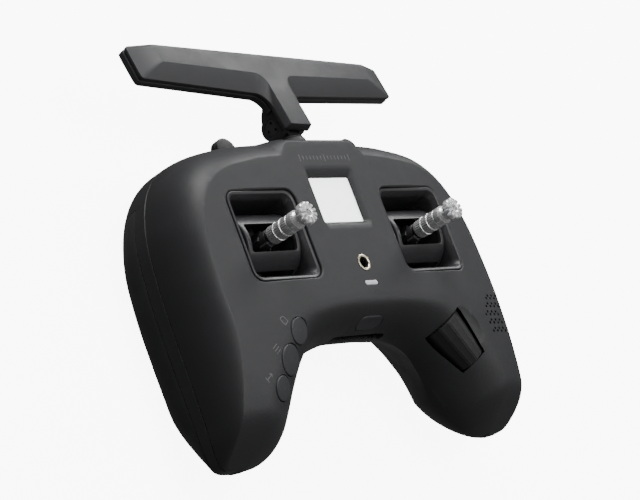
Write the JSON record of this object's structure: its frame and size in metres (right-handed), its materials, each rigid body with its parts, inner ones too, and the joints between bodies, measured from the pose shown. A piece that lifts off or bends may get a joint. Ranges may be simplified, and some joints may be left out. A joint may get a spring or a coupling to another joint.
{
  "type": "radio transmitter controller",
  "caption": "Handheld radio control transmitter with gimbal sticks, a small display, menu buttons, a thumb wheel, shoulder toggles and a folding T-shaped antenna.",
  "frame": {"origin": "centre of the flat rear cover, which is the face it rests on, straight below the middle between the two sticks", "axes": "+Z out of the control face along the upright sticks, +Y towards the antenna, +X towards the right-hand stick"},
  "size_m": [0.169, 0.1589, 0.066],
  "materials": {
    "shell": "fine matte texture",
    "grip_rubber": "matte",
    "cover_plastic": "matte",
    "screw_steel": "dark zinc",
    "display_glass": "clear",
    "display_body": "pale display",
    "brass": "turned",
    "light_lens": "translucent",
    "gimbal_plastic": "satin",
    "stick_metal": "knurled and polished",
    "circuit_board": "solder mask",
    "spring_steel": "bright",
    "key_plastic": "satin",
    "wheel_rubber": "matte",
    "inner_plastic": "matte",
    "shield_metal": "stamped",
    "jack_plastic": "gloss",
    "cell_wrap": "shrink wrap",
    "antenna_plastic": "fine matte texture",
    "copper": "etched"
  },
  "bodies": {
    "chassis": {"front_shell": "shell", "rear_shell": "shell", "left_grip_pad": "grip_rubber", "right_grip_pad": "grip_rubber", "rear_cover": "cover_plastic", "cover_screws": "screw_steel", "shell_screws": "screw_steel", "screen_window": "display_glass", "display_module": "display_body", "strap_insert": "brass", "status_light": "light_lens", "left_gimbal_frame": "gimbal_plastic", "right_gimbal_frame": "gimbal_plastic", "left_gimbal_sensor": "circuit_board", "right_gimbal_sensor": "circuit_board", "gimbal_springs": "spring_steel", "button_board": "circuit_board", "power_switch": "circuit_board", "scroll_wheel_axle": "screw_steel", "wheel_cradle": "inner_plastic", "speaker": "inner_plastic", "vibration_motor": "shield_metal", "main_board": "circuit_board", "processor": "inner_plastic", "radio_module": "shield_metal", "battery_cells": "cell_wrap", "battery_frame": "inner_plastic", "usb_socket": "shield_metal", "jack_socket": "jack_plastic", "antenna_bushing": "cover_plastic", "left_toggle_switch": "inner_plastic", "right_toggle_switch": "inner_plastic"},
    "left_yoke": {"left_yoke": "gimbal_plastic"},
    "left_stick": {"left_stick_carrier": "gimbal_plastic", "left_stick_grip": "stick_metal", "left_stick_cap": "stick_metal"},
    "right_yoke": {"right_yoke": "gimbal_plastic"},
    "right_stick": {"right_stick_carrier": "gimbal_plastic", "right_stick_grip": "stick_metal", "right_stick_cap": "stick_metal"},
    "page_button": {"page_button": "key_plastic"},
    "menu_button": {"menu_button": "key_plastic"},
    "exit_button": {"exit_button": "key_plastic"},
    "power_button": {"power_button": "key_plastic"},
    "scroll_wheel": {"scroll_wheel": "wheel_rubber"},
    "antenna_mount": {"antenna_swivel": "cover_plastic"},
    "antenna": {"antenna_hinge_pin": "screw_steel", "antenna_rear": "antenna_plastic", "antenna_front": "antenna_plastic", "antenna_element": "copper", "antenna_hinge_caps": "cover_plastic"},
    "left_toggle": {"left_toggle": "key_plastic"},
    "left_shoulder_button": {"left_shoulder_button": "key_plastic"},
    "right_toggle": {"right_toggle": "key_plastic"},
    "right_shoulder_button": {"right_shoulder_button": "key_plastic"}
  },
  "joints": [
    {"name": "left_stick_up_down", "type": "hinge", "parent": "chassis", "child": "left_yoke", "pos_m": [-0.0422, 0, 0.0326], "axis": [1, 0, 0], "range_deg": [-25, 25]},
    {"name": "left_stick_left_right", "type": "hinge", "parent": "left_yoke", "child": "left_stick", "pos_m": [-0.0422, 0, 0.0326], "axis": [0, 1, 0], "range_deg": [-25, 25], "stiffness_Nm_per_rad": 0.045},
    {"name": "right_stick_up_down", "type": "hinge", "parent": "chassis", "child": "right_yoke", "pos_m": [0.0422, 0, 0.0326], "axis": [1, 0, 0], "range_deg": [-25, 25], "stiffness_Nm_per_rad": 0.045},
    {"name": "right_stick_left_right", "type": "hinge", "parent": "right_yoke", "child": "right_stick", "pos_m": [0.0422, 0, 0.0326], "axis": [0, 1, 0], "range_deg": [-25, 25], "stiffness_Nm_per_rad": 0.045},
    {"name": "page_press", "type": "slide", "parent": "chassis", "child": "page_button", "axis": [-0.14, 0.3299, -0.9336], "range_m": [0, 0.0008], "stiffness_N_per_m": 900, "springref_m": -0.0006},
    {"name": "menu_press", "type": "slide", "parent": "chassis", "child": "menu_button", "axis": [-0.2049, 0.3696, -0.9063], "range_m": [0, 0.0008], "stiffness_N_per_m": 900, "springref_m": -0.0006},
    {"name": "exit_press", "type": "slide", "parent": "chassis", "child": "exit_button", "axis": [-0.2125, 0.3834, -0.8988], "range_m": [0, 0.0008], "stiffness_N_per_m": 900, "springref_m": -0.0006},
    {"name": "power_press", "type": "slide", "parent": "chassis", "child": "power_button", "axis": [0, 0.9336, -0.3584], "range_m": [0, 0.0008], "stiffness_N_per_m": 900, "springref_m": -0.0006},
    {"name": "scroll_wheel_spin", "type": "hinge", "parent": "chassis", "child": "scroll_wheel", "pos_m": [0.049, -0.0437, 0.0366], "axis": [0.5894, -0.8054, -0.0628], "continuous": true},
    {"name": "antenna_swivel", "type": "hinge", "parent": "chassis", "child": "antenna_mount", "pos_m": [0, 0.0436, 0.0338], "axis": [0, 1, 0], "range_deg": [-48.9, 41.1]},
    {"name": "antenna_fold", "type": "hinge", "parent": "antenna_mount", "child": "antenna", "pos_m": [0, 0.05, 0.0338], "axis": [0.9977, 0, -0.068], "range_deg": [-79.7, 10.3]},
    {"name": "left_toggle_flip", "type": "hinge", "parent": "chassis", "child": "left_toggle", "pos_m": [-0.035, 0.0335, 0.032], "axis": [1, 0, 0], "range_deg": [-18, 18]},
    {"name": "left_shoulder_press", "type": "slide", "parent": "chassis", "child": "left_shoulder_button", "axis": [0.1908, -0.9816, 0], "range_m": [0, 0.001], "stiffness_N_per_m": 900, "springref_m": -0.0006},
    {"name": "right_toggle_flip", "type": "hinge", "parent": "chassis", "child": "right_toggle", "pos_m": [0.035, 0.0335, 0.032], "axis": [1, 0, 0], "range_deg": [-18, 18]},
    {"name": "right_shoulder_press", "type": "slide", "parent": "chassis", "child": "right_shoulder_button", "axis": [-0.1908, -0.9816, 0], "range_m": [0, 0.001], "stiffness_N_per_m": 900, "springref_m": -0.0006}
  ]
}
